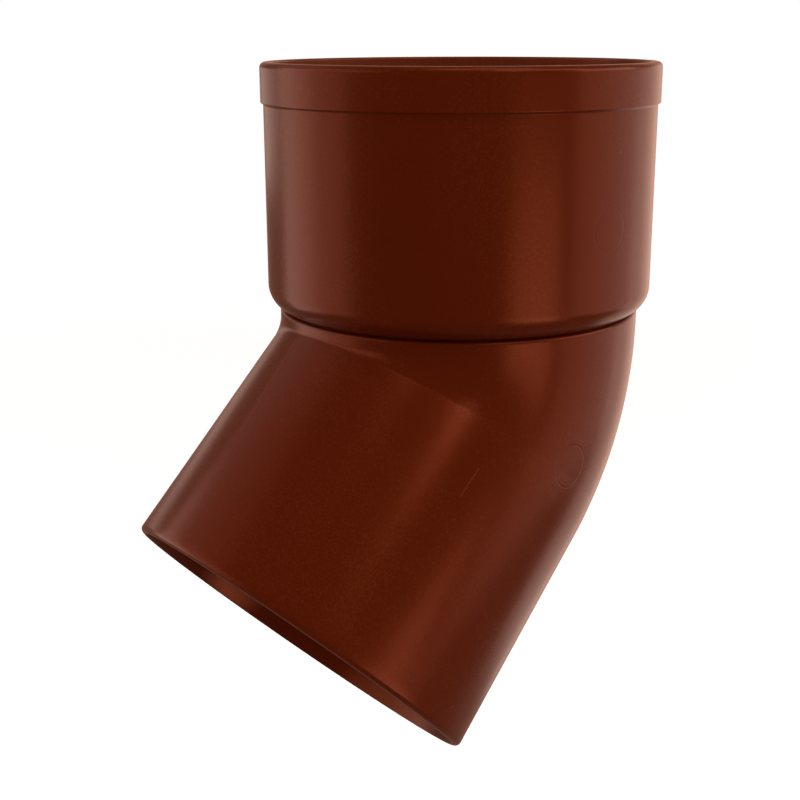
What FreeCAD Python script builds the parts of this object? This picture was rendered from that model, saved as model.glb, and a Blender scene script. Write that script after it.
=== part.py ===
# Downspout elbow: one moulded piece that turns a round rainwater downpipe outwards at its foot.
# Lengths are in millimetres. The origin is the centre of the socket mouth, +Z points up out of the
# socket, and the outlet leans towards -X, so the piece is the same on both sides of the XZ plane.

import math
import os

import FreeCAD
import Part

# Socket
pipe_diameter = 110.0
pipe_clearance = 0.3
socket_wall = 2.2
socket_depth = 64.5

# Collar around the socket mouth
collar_stand = 0.8
collar_height = 11.4
collar_under_rise = 0.5
rim_round = 1.6
rim_break = 0.4

# Shoulder that turns in under the socket, with the groove and the ledge below it
groove_depth = 5.1
shoulder_height = 7.2
ledge_width = 1.6
stub_height = 2.7
stop_height = 5.5

# Bend
corner_radius = 1.2
heel_radius = 116.8
bend_angle = 37.2

# Outlet
throat_length = 69.7
throat_angle = 43.5
mouth_angle = 45.0
mouth_diameter = 113.8
mouth_chamfer = 1.0
mouth_break = 0.3

# Wall at the neck and at the outlet's mouth
neck_wall = 3.1
mouth_wall = 2.3

# Number of steps between the circles that each curved loft runs through
bend_steps = 5
arc_steps = 2

# How short the rest of the heel's arc may be and still get a loft of its own
least_arc = 2.0

# How far off its place an edge may lie and still be found
edge_search = 0.4

# Sizes that follow from the ones above
bore_radius = pipe_diameter / 2.0 + pipe_clearance
socket_radius = bore_radius + socket_wall
collar_radius = socket_radius + collar_stand
groove_radius = socket_radius - groove_depth
neck_radius = groove_radius + ledge_width
passage_radius = neck_radius - neck_wall
ledge_level = -(socket_depth + shoulder_height)
bend_level = ledge_level - stub_height


def point(x, z):
    """A point in the plane that cuts the elbow in half."""
    return FreeCAD.Vector(x, 0.0, z)


def direction(angle):
    """A unit vector in that plane, turned down from +X by an angle in degrees."""
    turn = math.radians(angle)
    return point(math.cos(turn), -math.sin(turn))


def wall_arc(start, end):
    """An arc that leaves an upright wall at its start and curves in to its end."""
    inward = start.x - end.x
    down = start.z - end.z
    turn = 2.0 * math.atan2(inward, down)
    radius = down / math.sin(turn)
    centre = point(start.x - radius, start.z)
    middle = centre + direction(math.degrees(turn) / 2.0) * radius
    return Part.Arc(start, middle, end).toShape()


def line(start, end):
    return Part.LineSegment(start, end).toShape()


def socket():
    """Stub, ledge, shoulder, socket and collar, then the bore, its sloping stop and the neck's passage."""
    stub = point(neck_radius, bend_level)
    ledge = point(neck_radius, ledge_level)
    groove = point(groove_radius, ledge_level)
    socket_low = point(socket_radius, -socket_depth)
    socket_top = point(socket_radius, -collar_height - collar_under_rise)
    collar_low = point(collar_radius, -collar_height)
    collar_top = point(collar_radius, -rim_round)
    round_centre = point(collar_radius - rim_round, -rim_round)
    round_middle = round_centre + direction(-45.0) * rim_round
    rim_outer = point(collar_radius - rim_round, 0.0)
    rim_inner = point(bore_radius + rim_break, 0.0)
    bore_top = point(bore_radius, -rim_break)
    bore_low = point(bore_radius, -socket_depth)
    stop_low = point(passage_radius, -socket_depth - stop_height)
    passage_low = point(passage_radius, bend_level)
    half_section = Part.Wire([
        line(stub, ledge),
        line(ledge, groove),
        wall_arc(socket_low, groove),
        line(socket_low, socket_top),
        line(socket_top, collar_low),
        line(collar_low, collar_top),
        Part.Arc(collar_top, round_middle, rim_outer).toShape(),
        line(rim_outer, rim_inner),
        line(rim_inner, bore_top),
        line(bore_top, bore_low),
        line(bore_low, stop_low),
        line(stop_low, passage_low),
    ])
    return half_section.revolve(FreeCAD.Vector(0, 0, 0), FreeCAD.Vector(0, 0, 1), 360.0).Faces


def corner_centre():
    """The point that the bend turns about, just outside the neck on the outlet's side."""
    return point(-neck_radius - corner_radius, bend_level)


def heel_centre():
    return point(neck_radius - heel_radius, bend_level)


def throat_point(angle):
    """The point on the bend's inner corner at an angle below level."""
    return corner_centre() + direction(angle) * corner_radius


def mouth_points():
    """Throat point and heel point of the outlet's mouth."""
    throat = throat_point(bend_angle) + direction(90.0 + throat_angle) * throat_length
    return throat, throat + direction(mouth_angle) * mouth_diameter


def heel_turn():
    """Angle at which the heel's arc ends in the straight line that runs on to the mouth."""
    to_mouth = mouth_points()[1] - heel_centre()
    below_level = math.degrees(math.atan2(-to_mouth.z, to_mouth.x))
    return below_level - math.degrees(math.acos(heel_radius / to_mouth.Length))


def arc_length():
    return math.radians(heel_turn()) * heel_radius


def heel_length():
    """Length of the whole heel, its arc and its line."""
    arc_end = heel_centre() + direction(heel_turn()) * heel_radius
    return arc_length() + (mouth_points()[1] - arc_end).Length


def heel_point(travel):
    """The point on the heel that lies a length along it."""
    turn = math.degrees(min(travel, arc_length()) / heel_radius)
    on_arc = heel_centre() + direction(turn) * heel_radius
    return on_arc + direction(90.0 + heel_turn()) * max(travel - arc_length(), 0.0)


def heel_travel(angle):
    """How far along the heel the bend's section at an angle below level meets it."""
    start = corner_centre()
    along = direction(angle)
    to_start = start - heel_centre()
    half = to_start.dot(along)
    reach = math.sqrt(half * half - to_start.dot(to_start) + heel_radius * heel_radius) - half
    to_hit = to_start + along * reach
    turn = math.atan2(-to_hit.z, to_hit.x)
    if turn <= math.radians(heel_turn()):
        return turn * heel_radius
    across = direction(angle + 90.0)
    on_line = (start - heel_point(arc_length())).dot(across)
    return arc_length() + on_line / direction(90.0 + heel_turn()).dot(across)


def across_bend(angle):
    """Throat point and heel point of the bend's section at an angle below level."""
    return throat_point(angle), heel_point(heel_travel(angle))


def across_outlet(share):
    """Throat point and heel point of the outlet's section, a share of the way to its mouth."""
    start = heel_travel(bend_angle)
    heel = heel_point(start + (heel_length() - start) * share)
    throat_start = throat_point(bend_angle)
    throat = throat_start + (mouth_points()[0] - throat_start) * share
    return throat, heel


def ring(throat, heel, wall):
    """The circle that spans from throat to heel, drawn in by a wall. It starts at the heel."""
    centre = (throat + heel) * 0.5
    radius = (heel - throat).Length / 2.0 - wall
    to_heel = (heel - centre).normalize() * radius
    to_side = FreeCAD.Vector(0.0, radius, 0.0)
    circle = Part.Circle(centre + to_heel, centre + to_side, centre - to_heel)
    return Part.Wire(circle.toShape())


def skin(rings, straight):
    """The faces that run through the rings, straight or curved from each to the next."""
    return Part.makeLoft(rings, False, straight).Faces


def bend(wall):
    """The bend's skin, through circles that share its inner corner."""
    rings = []
    for step in range(bend_steps + 1):
        throat, heel = across_bend(bend_angle * step / bend_steps)
        rings.append(ring(throat, heel, wall))
    return skin(rings, False)


def outlet_ring(share, neck_end_wall, mouth_end_wall):
    throat, heel = across_outlet(share)
    return ring(throat, heel, neck_end_wall + (mouth_end_wall - neck_end_wall) * share)


def outlet(neck_end_wall, mouth_end_wall):
    """The outlet's skin: curved along the rest of the heel's arc, then straight and widening."""
    start = heel_travel(bend_angle)
    arc_rest = arc_length() - start
    first = outlet_ring(0.0, neck_end_wall, mouth_end_wall)
    last = outlet_ring(1.0, neck_end_wall, mouth_end_wall)
    if arc_rest < least_arc:
        return skin([first, last], True)
    rings = [first]
    for step in range(1, arc_steps + 1):
        share = arc_rest / (heel_length() - start) * step / arc_steps
        rings.append(outlet_ring(share, neck_end_wall, mouth_end_wall))
    return skin(rings, False) + skin([rings[-1], last], True)


def mouth_edges(solid, radius):
    """The edges that run around the mouth at a radius from its centre, in its plane."""
    throat, heel = mouth_points()
    centre = (throat + heel) * 0.5
    along = direction(mouth_angle)
    side = FreeCAD.Vector(0, 1, 0)
    found = []
    for edge in solid.Edges:
        middle = edge.valueAt((edge.FirstParameter + edge.LastParameter) / 2.0) - centre
        start = edge.Vertexes[0].Point - centre
        flat = max(abs(middle.dot(along.cross(side))), abs(start.dot(along.cross(side))))
        off = max(abs(middle.Length - radius), abs(start.Length - radius))
        if flat < edge_search and off < edge_search:
            found.append(edge)
    return found


def elbow_body():
    """The whole moulding, sewn from its outer and inner skins, with its mouth's edges bevelled."""
    outer_radius = mouth_diameter / 2.0
    mouth_disc = Part.Face(outlet_ring(1.0, 0.0, 0.0))
    mouth_face = mouth_disc.cut(Part.Face(outlet_ring(1.0, neck_wall, mouth_wall))).Faces[0]
    outer_skin = bend(0.0) + outlet(0.0, 0.0)
    inner_skin = bend(neck_wall) + outlet(neck_wall, mouth_wall)
    sewn = Part.makeCompound(socket() + outer_skin + inner_skin + [mouth_face])
    sewn.sewShape()
    solid = Part.makeSolid(sewn.Shells[0])
    solid = solid.makeChamfer(mouth_chamfer, mouth_edges(solid, outer_radius))
    solid = solid.makeChamfer(mouth_break, mouth_edges(solid, outer_radius - mouth_wall))
    return solid.Solids[0]


os.makedirs("parts", exist_ok=True)
body = elbow_body()
body.exportStep("parts/elbow_body.step")
print("elbow_body", body.ShapeType, len(body.Solids), body.isValid(), round(body.Volume))
print("box", body.BoundBox)
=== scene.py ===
import math

import bpy
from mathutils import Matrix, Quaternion, Vector


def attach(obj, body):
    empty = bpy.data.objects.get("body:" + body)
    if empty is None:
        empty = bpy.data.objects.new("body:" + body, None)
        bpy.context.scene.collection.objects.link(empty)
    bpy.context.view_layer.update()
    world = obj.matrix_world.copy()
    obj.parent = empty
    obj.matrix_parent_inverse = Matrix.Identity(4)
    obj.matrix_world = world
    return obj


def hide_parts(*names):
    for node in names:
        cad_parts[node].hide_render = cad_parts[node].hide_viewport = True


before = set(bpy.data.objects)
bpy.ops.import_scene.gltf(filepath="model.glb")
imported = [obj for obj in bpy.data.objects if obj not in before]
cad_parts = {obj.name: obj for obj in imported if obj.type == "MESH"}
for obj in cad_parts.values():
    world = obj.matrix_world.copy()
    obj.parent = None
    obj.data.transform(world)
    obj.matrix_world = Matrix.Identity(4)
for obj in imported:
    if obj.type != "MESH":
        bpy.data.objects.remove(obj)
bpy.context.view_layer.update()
scene = bpy.context.scene

# The elbow
# One piece of brown rigid PVC, injection moulded in one shot: a collared socket, a rounded shoulder
# with a groove and a narrow ledge under it, a tight bend, and an outlet that widens to its mouth.
# It is pushed up over the end of a 110 mm pipe, and nothing else holds it.

# Sizes of the socket, the collar, the shoulder and the neck, in millimetres
bore_radius = 55.3
socket_radius = 57.5
collar_radius = 58.3
collar_height = 11.4
collar_under_rise = 0.5
socket_depth = 64.5
groove_radius = 52.4
ledge_depth = 71.7
neck_radius = 54.0
neck_depth = 74.4
passage_radius = 50.9
stop_depth = 70.0

# Sizes of the bend and the outlet, in millimetres and degrees
corner_radius = 1.2
heel_radius = 116.8
bend_angle = 37.2
throat_angle = 43.5
throat_length = 69.7
mouth_angle = 45.0
mouth_diameter = 113.8
neck_wall = 3.1
mouth_wall = 2.3

# Radii of the rounded edges, in millimetres
rim_round = 1.6
rim_break = 0.4
collar_round = 0.35
ledge_round = 0.9
mouth_round = 1.88
mouth_break = 0.3
stop_foot_round = 1.0
stop_top_round = 2.0

# How far from an edge or a line the next circles lie, in millimetres, so that the shading stays crisp
edge_gap = 0.25
crease_gaps = (0.25, 0.5, 1.0)
mouth_gap = 0.05

# How far across the ledge's flat a circle lies, as a share of the way from the groove to the lip
ledge_share = 0.3

# Into how many steps the circles divide each stretch of the wall, and how many steps a circle has
rim_steps = 10
rim_flat_steps = 2
collar_steps = 3
collar_edge_steps = 6
socket_steps = 8
shoulder_steps = 24
ledge_steps = 5
neck_steps = 2
bend_steps = 40
heel_steps = 8
outlet_steps = 16
mouth_steps = 8
mouth_break_steps = 4
inner_outlet_steps = 12
inner_heel_steps = 6
inner_bend_steps = 30
stop_foot_steps = 5
stop_steps = 2
stop_top_steps = 6
bore_steps = 8
circle_steps = 256

millimetre = 0.001


def at(x, z):
    """A point of the elbow's middle plane."""
    return Vector((x, 0.0, z))


def toward(angle):
    """A unit vector in the middle plane, turned down from +X by an angle in degrees."""
    turn = math.radians(angle)
    return at(math.cos(turn), -math.sin(turn))


def below_level(vector):
    """The angle by which a vector of the middle plane is turned down from +X, in radians."""
    return math.atan2(-vector.z, vector.x)


def rounded(before, corner, after, radius, steps):
    """The corner between two straight lines, taken off by an arc of a radius."""
    back = (before - corner).normalized()
    on = (after - corner).normalized()
    half = back.angle(on) / 2.0
    run = radius / math.tan(half)
    centre = corner + (back + on).normalized() * (radius / math.sin(half))
    start = (corner + back * run - centre).normalized()
    end = (corner + on * run - centre).normalized()
    return [centre + start.slerp(end, k / steps) * radius for k in range(steps + 1)]


def curved_in(start, end, steps):
    """An arc that leaves an upright wall at its start and curves in to its end."""
    inward = start.x - end.x
    down = start.z - end.z
    turn = 2.0 * math.atan2(inward, down)
    radius = down / math.sin(turn)
    centre = at(start.x - radius, start.z)
    return [centre + toward(math.degrees(turn * k / steps)) * radius for k in range(steps + 1)]


def spread(start, end, steps):
    """Points on a straight run, with one close to each of its ends."""
    near_end = edge_gap / (end - start).length
    shares = [near_end] + [k / steps for k in range(1, steps)] + [1.0 - near_end]
    return [start.lerp(end, share) for share in shares]


def level_circle(point):
    """The throat and heel points of a circle around the socket's axis, through a point."""
    return at(-point.x, point.z), point


heel_centre = at(neck_radius - heel_radius, -neck_depth)


def across_bend(angle):
    """The throat and heel points of the bend's circle at an angle below level.

    The heel point is where a line from the bend's inner corner meets the heel's arc.
    """
    pivot = at(-neck_radius - corner_radius, -neck_depth)
    along = toward(angle)
    to_pivot = pivot - heel_centre
    half = to_pivot.dot(along)
    reach = math.sqrt(half * half - to_pivot.length_squared + heel_radius * heel_radius) - half
    return pivot + along * corner_radius, pivot + along * reach


crease_throat, crease_heel = across_bend(bend_angle)
mouth_throat = crease_throat + toward(90.0 + throat_angle) * throat_length
mouth_heel = mouth_throat + toward(mouth_angle) * mouth_diameter

# The heel runs on from the bend in an arc, which ends where a straight line can leave it for the mouth
to_mouth = mouth_heel - heel_centre
heel_turn = math.degrees(below_level(to_mouth) - math.acos(heel_radius / to_mouth.length))
crease_turn = math.degrees(below_level(crease_heel - heel_centre))
arc_length = math.radians(heel_turn - crease_turn) * heel_radius
line_length = (to_mouth - toward(heel_turn) * heel_radius).length
heel_length = arc_length + line_length
arc_share = arc_length / heel_length


def across_outlet(share):
    """The throat and heel points of the outlet's circle, a share of the way to its mouth."""
    travel = share * heel_length
    turn = crease_turn + math.degrees(min(travel, arc_length) / heel_radius)
    heel = heel_centre + toward(turn) * heel_radius
    heel += toward(90.0 + heel_turn) * max(travel - arc_length, 0.0)
    return crease_throat.lerp(mouth_throat, share), heel


def drawn_in(circle, wall):
    """A circle made smaller by a wall, about the same centre."""
    throat, heel = circle
    across = (heel - throat).normalized()
    return throat + across * wall, heel - across * wall


def outside():
    """Circles from the rim's flat, down the outside, to the outlet's mouth."""
    rim_in = at(bore_radius + rim_break, 0.0)
    rim_out = at(collar_radius, 0.0)
    collar_foot = at(collar_radius, -collar_height)
    under_collar = at(socket_radius, -collar_height - collar_under_rise)
    socket_foot = at(socket_radius, -socket_depth)
    groove = at(groove_radius, -ledge_depth)
    ledge = at(neck_radius, -ledge_depth)
    neck_foot = at(neck_radius, -neck_depth)
    rim = rounded(rim_in, rim_out, collar_foot, rim_round, rim_steps)
    edge = rounded(rim_out, collar_foot, under_collar, collar_round, collar_edge_steps)
    lip = rounded(groove, ledge, neck_foot, ledge_round, ledge_steps)
    path = [rim_in] + spread(rim_in, rim[0], rim_flat_steps) + rim
    path += spread(rim[-1], edge[0], collar_steps) + edge + [under_collar]
    path += spread(under_collar, socket_foot, socket_steps)
    path += curved_in(socket_foot, groove, shoulder_steps)
    path += [groove.lerp(lip[0], ledge_share)] + lip + spread(lip[-1], neck_foot, neck_steps)
    circles = [level_circle(point) for point in path]
    circles += [across_bend(bend_angle * k / bend_steps) for k in range(bend_steps + 1)]
    shares = [gap / throat_length for gap in crease_gaps]
    shares += [arc_share * k / heel_steps for k in range(1, heel_steps + 1)]
    shares += [arc_share + (1.0 - arc_share) * k / outlet_steps for k in range(1, outlet_steps)]
    return circles + [across_outlet(share) for share in shares]


def around_mouth():
    """Circles around the mouth's rounded outer edge, its flat end and its inner edge."""
    circles = []
    for k in range(mouth_steps + 1):
        turn = math.radians(90.0 * k / mouth_steps)
        back = mouth_round * (1.0 - math.sin(turn))
        inset = mouth_round * (1.0 - math.cos(turn))
        circles.append(drawn_in(across_outlet(1.0 - back / heel_length), inset))
    for inset in (mouth_round + mouth_gap, mouth_wall - mouth_break - mouth_gap):
        circles.append(drawn_in(across_outlet(1.0), inset))
    for k in range(mouth_break_steps + 1):
        turn = math.radians(90.0 * k / mouth_break_steps)
        back = mouth_break * (1.0 - math.cos(turn))
        inset = mouth_wall - mouth_break * (1.0 - math.sin(turn))
        circles.append(drawn_in(across_outlet(1.0 - back / heel_length), inset))
    return circles


def inside():
    """Circles from the mouth back up the passage, over the pipe's stop and up the bore."""
    shares = [1.0 - (1.0 - arc_share) * k / inner_outlet_steps for k in range(1, inner_outlet_steps + 1)]
    shares += [arc_share * k / inner_heel_steps for k in range(inner_heel_steps - 1, -1, -1)]
    circles = []
    for share in shares:
        wall = neck_wall + (mouth_wall - neck_wall) * share
        circles.append(drawn_in(across_outlet(share), wall))
    for k in range(inner_bend_steps - 1, -1, -1):
        circles.append(drawn_in(across_bend(bend_angle * k / inner_bend_steps), neck_wall))
    passage_top = at(passage_radius, -neck_depth)
    stop_foot = at(passage_radius, -stop_depth)
    stop_top = at(bore_radius, -socket_depth)
    bore_top = at(bore_radius, -rim_break)
    rim_in = at(bore_radius + rim_break, 0.0)
    foot = rounded(passage_top, stop_foot, stop_top, stop_foot_round, stop_foot_steps)
    top = rounded(stop_foot, stop_top, bore_top, stop_top_round, stop_top_steps)
    path = foot + spread(foot[-1], top[0], stop_steps) + top
    path += spread(top[-1], bore_top, bore_steps) + [bore_top, bore_top.lerp(rim_in, 0.5)]
    return circles + [level_circle(point) for point in path]


class Wire:
    """An output of a node, which sums and products can be written with."""

    def __init__(self, maker, socket):
        self.maker = maker
        self.socket = socket

    def __add__(self, other):
        return self.maker.maths("ADD", self, other)

    def __radd__(self, other):
        return self.maker.maths("ADD", other, self)

    def __sub__(self, other):
        return self.maker.maths("SUBTRACT", self, other)

    def __rsub__(self, other):
        return self.maker.maths("SUBTRACT", other, self)

    def __mul__(self, other):
        return self.maker.maths("MULTIPLY", self, other)

    def __rmul__(self, other):
        return self.maker.maths("MULTIPLY", other, self)

    def __truediv__(self, other):
        return self.maker.maths("DIVIDE", self, other)

    def __rtruediv__(self, other):
        return self.maker.maths("DIVIDE", other, self)

    def __mod__(self, other):
        return self.maker.maths("FLOORED_MODULO", self, other)

    def __rmod__(self, other):
        return self.maker.maths("FLOORED_MODULO", other, self)

    def __abs__(self):
        return self.maker.maths("ABSOLUTE", self)


class Maker:
    """Adds nodes to one tree."""

    def __init__(self, tree):
        self.tree = tree
        tree.nodes.clear()

    def add(self, kind, settings, *values, out=0, **named):
        """A node with its settings, then its inputs by place or by name; gives one of its outputs."""
        node = self.tree.nodes.new(kind)
        for name, value in settings.items():
            setattr(node, name, value)
        for key, value in list(enumerate(values)) + list(named.items()):
            if value is None:
                continue
            socket = node.inputs[key.replace("_", " ") if isinstance(key, str) else key]
            if isinstance(value, Wire):
                self.tree.links.new(value.socket, socket)
            else:
                socket.default_value = value
        return Wire(self, node.outputs[out]) if len(node.outputs) else node

    def maths(self, operation, *values):
        return self.add("ShaderNodeMath", {"operation": operation}, *values)

    def vector(self, operation, *values, out="Vector", **named):
        return self.add("ShaderNodeVectorMath", {"operation": operation}, *values, out=out, **named)

    def length(self, vector):
        return self.vector("LENGTH", vector, out="Value")

    def dot(self, first, second):
        return self.vector("DOT_PRODUCT", first, second, out="Value")

    def eased(self, value, start, end, at_start=0.0, at_end=1.0):
        """A value that changes smoothly from one level to another while the input crosses a range."""
        smooth = {"interpolation_type": "SMOOTHSTEP"}
        return self.add("ShaderNodeMapRange", smooth, value, start, end, at_start, at_end)

    def between(self, share, first, second):
        """A colour, a share of the way from the first to the second."""
        inputs_of_other_types = [None] * 5
        colours = {"data_type": "RGBA"}
        return self.add("ShaderNodeMix", colours, share, *inputs_of_other_types, first, second, out=2)


# How close two points of the wall lie that are made one, in metres
weld_distance = 0.000002


def ring_wall(name, circles, around, material):
    """The closed wall that runs through a list of circles, made by Geometry Nodes."""
    ends = [throat for throat, heel in circles] + [heel for throat, heel in circles]
    rail = bpy.data.meshes.new(name + "_rail")
    rail.from_pydata([tuple(end * millimetre) for end in ends], [], [])
    piece = bpy.data.objects.new(name, rail)
    scene.collection.objects.link(piece)

    tree = bpy.data.node_groups.new(name + "_rings", "GeometryNodeTree")
    ports = tree.interface
    ports.new_socket("Geometry", in_out="INPUT", socket_type="NodeSocketGeometry")
    ports.new_socket("Circles", in_out="INPUT", socket_type="NodeSocketInt")
    ports.new_socket("Steps around", in_out="INPUT", socket_type="NodeSocketInt")
    ports.new_socket("Material", in_out="INPUT", socket_type="NodeSocketMaterial")
    ports.new_socket("Geometry", in_out="OUTPUT", socket_type="NodeSocketGeometry")
    make = Maker(tree)
    group = tree.nodes.new("NodeGroupInput")
    geometry, count, steps, finish = [Wire(make, group.outputs[k]) for k in range(4)]

    # A grid with a row of points for each circle, and one more row that closes the wall on itself
    grid = make.add("GeometryNodeMeshGrid", {}, 1.0, 1.0, count + 1.0, steps + 1.0)
    index = make.add("GeometryNodeInputIndex", {})
    points_in_row = steps + 1.0
    circle = make.maths("FLOOR", (index + 0.5) / points_in_row) % count
    step = index % points_in_row

    # Each point goes to its place on its circle, which the rail's throat and heel points give
    here = make.add("GeometryNodeInputPosition", {})
    pick = {"data_type": "FLOAT_VECTOR", "domain": "POINT"}
    throat = make.add("GeometryNodeSampleIndex", pick, geometry, here, circle)
    heel = make.add("GeometryNodeSampleIndex", pick, geometry, here, circle + count)
    centre = make.vector("SCALE", make.vector("ADD", throat, heel), Scale=0.5)
    reach = make.vector("SUBTRACT", throat, centre)
    turn = step * (2.0 * math.pi) / steps
    ahead = make.vector("SCALE", reach, Scale=make.maths("COSINE", turn))
    aside = make.add("ShaderNodeCombineXYZ", {}, 0.0, make.length(reach) * make.maths("SINE", turn), 0.0)
    place = make.vector("ADD", make.vector("ADD", centre, ahead), aside)

    moved = make.add("GeometryNodeSetPosition", {}, grid, None, place)
    closed = make.add("GeometryNodeMergeByDistance", {}, moved, Distance=weld_distance)
    turned_out = make.add("GeometryNodeFlipFaces", {}, closed)
    smooth = make.add("GeometryNodeSetShadeSmooth", {}, turned_out)
    real = make.add("GeometryNodeRealizeInstances", {}, smooth)
    done = make.add("GeometryNodeSetMaterial", {}, real, None, finish)
    tree.links.new(done.socket, tree.nodes.new("NodeGroupOutput").inputs[0])

    modifier = piece.modifiers.new("rings", "NODES")
    modifier.node_group = tree
    inputs = {item.name: item.identifier for item in ports.items_tree if item.in_out == "INPUT"}
    modifier[inputs["Circles"]] = len(circles)
    modifier[inputs["Steps around"]] = around
    modifier[inputs["Material"]] = material
    depsgraph = bpy.context.evaluated_depsgraph_get()
    mesh = bpy.data.meshes.new_from_object(piece.evaluated_get(depsgraph), depsgraph=depsgraph)
    piece.modifiers.remove(modifier)
    mesh.materials.pop(index=0)  # the grid's own slot, which is empty
    piece.data = mesh
    return piece


# The plastic's colours and gloss, and how fine its grain and the soft clouds from handling are
plain_brown = (0.105, 0.0135, 0.0014, 1.0)
lighter_brown = (0.30, 0.10, 0.05, 1.0)
glint_tint = (1.0, 0.27, 0.13, 1.0)
glint_level = 0.8
gloss_roughness = 0.25
cloud_roughness = 0.1
grain_scale = 1500.0
cloud_scale = 38.0
cloud_stretch = (1.0, 1.0, 0.3)

# Places and sizes of the marks on the surface, in metres: the rings that two pins of the mould left, specks,
# scratches, a painted highlight streak down the outlet's left side, a painted highlight line along the
# bend's last section and a lighter spot at its end
pin_marks = [(0.0047, -0.0573, -0.0435), (-0.0045, -0.0543, -0.1095)]
pin_radius = 0.0062
pin_line = 0.00035
specks = [(0.0077, -0.0570, -0.0229), (-0.0484, -0.0553, -0.1691)]
speck_radius = 0.0006
scratch_lines = [
    ((-0.0360, -0.0508, -0.1044), (-0.0424, -0.0508, -0.1109)),
    ((-0.0335, -0.0546, -0.1500), (-0.0310, -0.0546, -0.1518)),
]
scratch_width = 0.00035
# A painted highlight: a light streak down the outlet's left side, where a lamp's reflection runs
highlight_streak = ((-0.0548, 0.0071, -0.0764), (-0.0766, 0.0036, -0.0989))
highlight_streak_width = 0.0009
# The painted highlight line along the bend's last section: its middle, width and reach
crease_highlight_centre = (-0.0425, -0.0335, -0.0830)
crease_highlight_width = 0.0007
crease_highlight_reach = 0.024
# A lighter spot at the end of the bend's last section
light_spot = (-0.0349, -0.0452, -0.0891)
light_spot_radius = 0.005

# How far out from the bore's wall its painted light fades, in metres
bore_light_fade = 0.0004

# How far each thing turns the plain brown to the lighter one. The crease line and the streak are painted
# highlights, and the bore's lightening is painted light.
rubbed_by_clouds = 0.2
rubbed_by_grain = 0.4
rubbed_by_specks = 0.5
rubbed_by_scratches = 0.25
rubbed_by_pins = 0.04
lightened_by_crease_highlight = 0.12
lightened_by_spot = 0.15
lightened_by_streak = 0.16
lightened_by_bore_light = 0.45

# How high the grain stands, and how deep the marks are let in, in metres
grain_height = 0.00002
mark_depth = 0.00003

plastic = bpy.data.materials.new("brown_plastic")
plastic.use_nodes = True
make = Maker(plastic.node_tree)
place = make.add("ShaderNodeTexCoord", {}, out="Object")


def close_to(distance, reach):
    """1 where a distance is nothing, falling to 0 at a reach."""
    return make.eased(distance, 0.0, reach, 1.0, 0.0)


def from_point(centre):
    """The distance from a point of the surface."""
    return make.length(make.vector("SUBTRACT", place, centre))


def from_line(start, end):
    """The distance from a straight line between two points of the surface."""
    run = Vector(end) - Vector(start)
    along = make.vector("SUBTRACT", place, start)
    share = make.add("ShaderNodeClamp", {}, make.dot(along, run / run.length_squared))
    return make.length(make.vector("SUBTRACT", along, make.vector("SCALE", run, Scale=share)))


grain = make.add("ShaderNodeTexNoise", {}, place, Scale=grain_scale, Detail=2.0, Roughness=0.6)
stretched = make.vector("MULTIPLY", place, cloud_stretch)
clouds = make.add("ShaderNodeTexNoise", {}, stretched, Scale=cloud_scale, Detail=3.0, Roughness=0.55)

pin_rings = sum(close_to(abs(from_point(mark) - pin_radius), pin_line) for mark in pin_marks)
speck_dots = sum(close_to(from_point(speck), speck_radius) for speck in specks)
scratches = sum(close_to(from_line(*ends), scratch_width) for ends in scratch_lines)
# The painted highlight streak down the outlet's left side
painted_streak = close_to(from_line(*highlight_streak), highlight_streak_width)
light_spot_mask = close_to(from_point(light_spot), light_spot_radius)

# A painted highlight: a fine light line along the bend's last section on its inner side, where the crease
# catches the light
crease_middle = (crease_throat + crease_heel) * (millimetre / 2.0)
off_crease = make.dot(make.vector("SUBTRACT", place, crease_middle), toward(bend_angle + 90.0))
crease_highlight = close_to(abs(off_crease), crease_highlight_width) * close_to(from_point(crease_highlight_centre), crease_highlight_reach)

# Painted light: the bore's wall is made lighter, standing in for the light that reaches the inside of the
# socket
height_in_elbow = make.add("ShaderNodeSeparateXYZ", {}, place, out="Z")
off_axis = make.length(make.vector("MULTIPLY", place, (1.0, 1.0, 0.0)))
above_stop = make.maths("GREATER_THAN", height_in_elbow, -socket_depth * millimetre)
bore_light = close_to(off_axis - bore_radius * millimetre, bore_light_fade) * above_stop

# Real marks and painted light together lighten the plain brown: the crease line and the streak are painted
# highlights, the bore's lightening is painted light
marks_and_painted_light = (clouds - 0.5) * rubbed_by_clouds + (grain - 0.5) * rubbed_by_grain
marks_and_painted_light += speck_dots * rubbed_by_specks + scratches * rubbed_by_scratches + pin_rings * rubbed_by_pins
marks_and_painted_light += crease_highlight * lightened_by_crease_highlight + light_spot_mask * lightened_by_spot + painted_streak * lightened_by_streak
marks_and_painted_light += bore_light * lightened_by_bore_light
relief = grain * grain_height - (pin_rings + scratches) * mark_depth
surface = make.add(
    "ShaderNodeBsdfPrincipled", {},
    Base_Color=make.between(marks_and_painted_light, plain_brown, lighter_brown),
    Roughness=gloss_roughness + (clouds - 0.5) * cloud_roughness,
    Normal=make.add("ShaderNodeBump", {}, Strength=1.0, Distance=1.0, Height=relief),
    Specular_IOR_Level=glint_level,
    Specular_Tint=glint_tint,
)
make.add("ShaderNodeOutputMaterial", {}, surface)

elbow = ring_wall("elbow", outside() + around_mouth() + inside(), circle_steps, plastic)
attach(elbow, "root")
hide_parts("elbow_body")

# The floor
# A plain pale studio floor, well below the elbow, which hangs where its pipe would hold it. The floor
# takes the elbow's soft shadow. What the camera sees of it is lifted, and turns white with distance.
floor_level = -0.36
floor_half = 6.0
floor_colour = (0.54, 0.63, 0.69, 1.0)
floor_lift = 0.81
white = (1.0, 1.0, 1.0, 1.0)

# Distances from the origin between which the floor turns white, in metres
white_start = 0.7
white_full = 1.5

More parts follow.
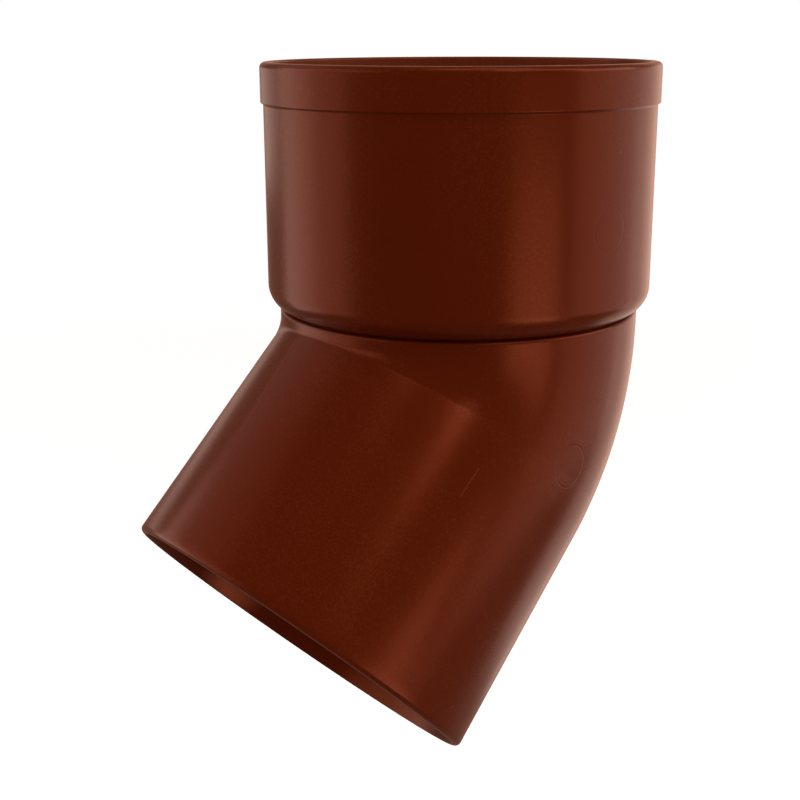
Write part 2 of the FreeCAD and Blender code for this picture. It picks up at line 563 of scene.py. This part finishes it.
corners = [(-1.0, -1.0), (1.0, -1.0), (1.0, 1.0), (-1.0, 1.0)]
points = [(floor_half * x, floor_half * y, floor_level) for x, y in corners]
floor_mesh = bpy.data.meshes.new("floor")
floor_mesh.from_pydata(points, [], [(0, 1, 2, 3)])
floor = bpy.data.objects.new("floor", floor_mesh)
scene.collection.objects.link(floor)

pale = bpy.data.materials.new("pale_floor")
pale.use_nodes = True
make = Maker(pale.node_tree)
from_origin = make.length(make.add("ShaderNodeTexCoord", {}, out="Object"))
seen = make.add("ShaderNodeLightPath", {}, out="Is Camera Ray")
matt = make.add("ShaderNodeBsdfDiffuse", {}, floor_colour)
lift = make.add("ShaderNodeEmission", {}, white, seen * floor_lift)
lifted = make.add("ShaderNodeAddShader", {}, matt, lift)
far_white = make.add("ShaderNodeEmission", {}, white, 1.0)
far = make.eased(from_origin, white_start, white_full)
shown = make.add("ShaderNodeMixShader", {}, seen * far, lifted, far_white)
make.add("ShaderNodeOutputMaterial", {}, shown)
floor_mesh.materials.append(pale)
floor.visible_glossy = False

# The light
# A dim warm room, brighter behind the elbow, and soft boxes that stand around it at one distance. The
# camera sees the room as plain white. A bearing is in degrees to the right of the camera's side, and a
# height in degrees above level.
camera_bearing = -38.38
soft_box_distance = 1.3
soft_box_colour = (1.0, 0.80, 0.70)
elbow_middle = Vector((-0.01, 0.0, -0.09))

# The room is brighter toward one bearing. The added light starts and is full where the cosine of the
# angle from that bearing has these values.
room_colour = (1.0, 0.52, 0.36, 1.0)
room_level = 0.25
added_level = 0.5
bright_bearing = 165.0
bright_start = 0.72
bright_full = 0.98


def outward(bearing, height):
    """A unit vector from the elbow at a bearing and a height."""
    turn = math.radians(bearing + camera_bearing)
    rise = math.radians(height)
    return Vector((math.sin(turn) * math.cos(rise), -math.cos(turn) * math.cos(rise), math.sin(rise)))


def across_angle(angle):
    """How wide a soft box is that fills an angle as seen from the elbow."""
    return 2.0 * soft_box_distance * math.tan(math.radians(angle / 2.0))


def soft_box(name, bearing, height, wide, tall, radiance):
    """An area lamp that faces the elbow. How wide and tall it is are the angles that it fills from there."""
    out = outward(bearing, height)
    data = bpy.data.lights.new(name, "AREA")
    data.shape = "RECTANGLE"
    data.size = across_angle(wide)
    data.size_y = across_angle(tall)
    data.color = soft_box_colour
    data.energy = radiance * math.pi * data.size * data.size_y
    lamp = bpy.data.objects.new(name, data)
    scene.collection.objects.link(lamp)
    lamp.location = elbow_middle + out * soft_box_distance
    lamp.rotation_mode = "QUATERNION"
    lamp.rotation_quaternion = (-out).to_track_quat("-Z", "Y")
    lamp.visible_camera = False


soft_box("left_wall", bearing=-72.0, height=20.0, wide=46.0, tall=24.0, radiance=0.8)
soft_box("left_far", bearing=-108.0, height=-2.0, wide=30.0, tall=50.0, radiance=1.2)
soft_box("left_low", bearing=-80.0, height=-10.0, wide=26.0, tall=30.0, radiance=0.8)
soft_box("left_back", bearing=-142.0, height=1.0, wide=30.0, tall=10.0, radiance=0.6)
soft_box("upper_left", bearing=-104.0, height=38.0, wide=62.0, tall=26.0, radiance=0.3)
soft_box("right_wall", bearing=88.0, height=22.0, wide=46.0, tall=24.0, radiance=1.7)
soft_box("right_low", bearing=93.0, height=-8.0, wide=56.0, tall=30.0, radiance=0.68)
soft_box("right_back", bearing=138.0, height=-13.0, wide=40.0, tall=54.0, radiance=0.66)
soft_box("upper_box", bearing=50.0, height=42.0, wide=46.0, tall=22.0, radiance=1.3)
soft_box("small_box", bearing=27.0, height=28.0, wide=9.0, tall=9.0, radiance=1.8)
soft_box("lower_box", bearing=42.0, height=-15.0, wide=28.0, tall=23.0, radiance=1.45)
soft_box("front_low", bearing=48.0, height=-28.0, wide=26.0, tall=14.0, radiance=1.2)
soft_box("overhead", bearing=20.0, height=68.0, wide=40.0, tall=24.0, radiance=1.5)

world = bpy.data.worlds.new("studio")
scene.world = world
world.use_nodes = True
make = Maker(world.node_tree)
way = make.add("ShaderNodeTexCoord", {}, out="Generated")
cosine = make.dot(way, outward(bright_bearing, 0.0))
brightness = room_level + make.eased(cosine, bright_start, bright_full) * added_level
room = make.add("ShaderNodeBackground", {}, room_colour, brightness)
backdrop = make.add("ShaderNodeBackground", {}, white, 1.0)
seen = make.add("ShaderNodeLightPath", {}, out="Is Camera Ray")
shown = make.add("ShaderNodeMixShader", {}, seen, room, backdrop)
make.add("ShaderNodeOutputWorld", {}, shown)

# The camera
# It stands 40 cm in front of the elbow, a little higher than the rim, and looks down at the bend. Its
# place gives the elbow the photograph's perspective, and its lens the same size in the frame.
camera_place = Vector((-0.2600, -0.2998, 0.00945))
camera_look = Vector((0.5973, 0.7543, -0.2725))
camera_roll = math.radians(-0.15)
sensor_width = 36.0
lens_length = 59.23

camera_data = bpy.data.cameras.new("camera")
camera_data.sensor_width = sensor_width
camera_data.lens = lens_length
camera = bpy.data.objects.new("camera", camera_data)
scene.collection.objects.link(camera)
camera.location = camera_place
camera.rotation_mode = "QUATERNION"
camera.rotation_quaternion = camera_look.to_track_quat("-Z", "Y") @ Quaternion((0, 0, 1), camera_roll)
scene.camera = camera
scene.view_settings.view_transform = "Standard"
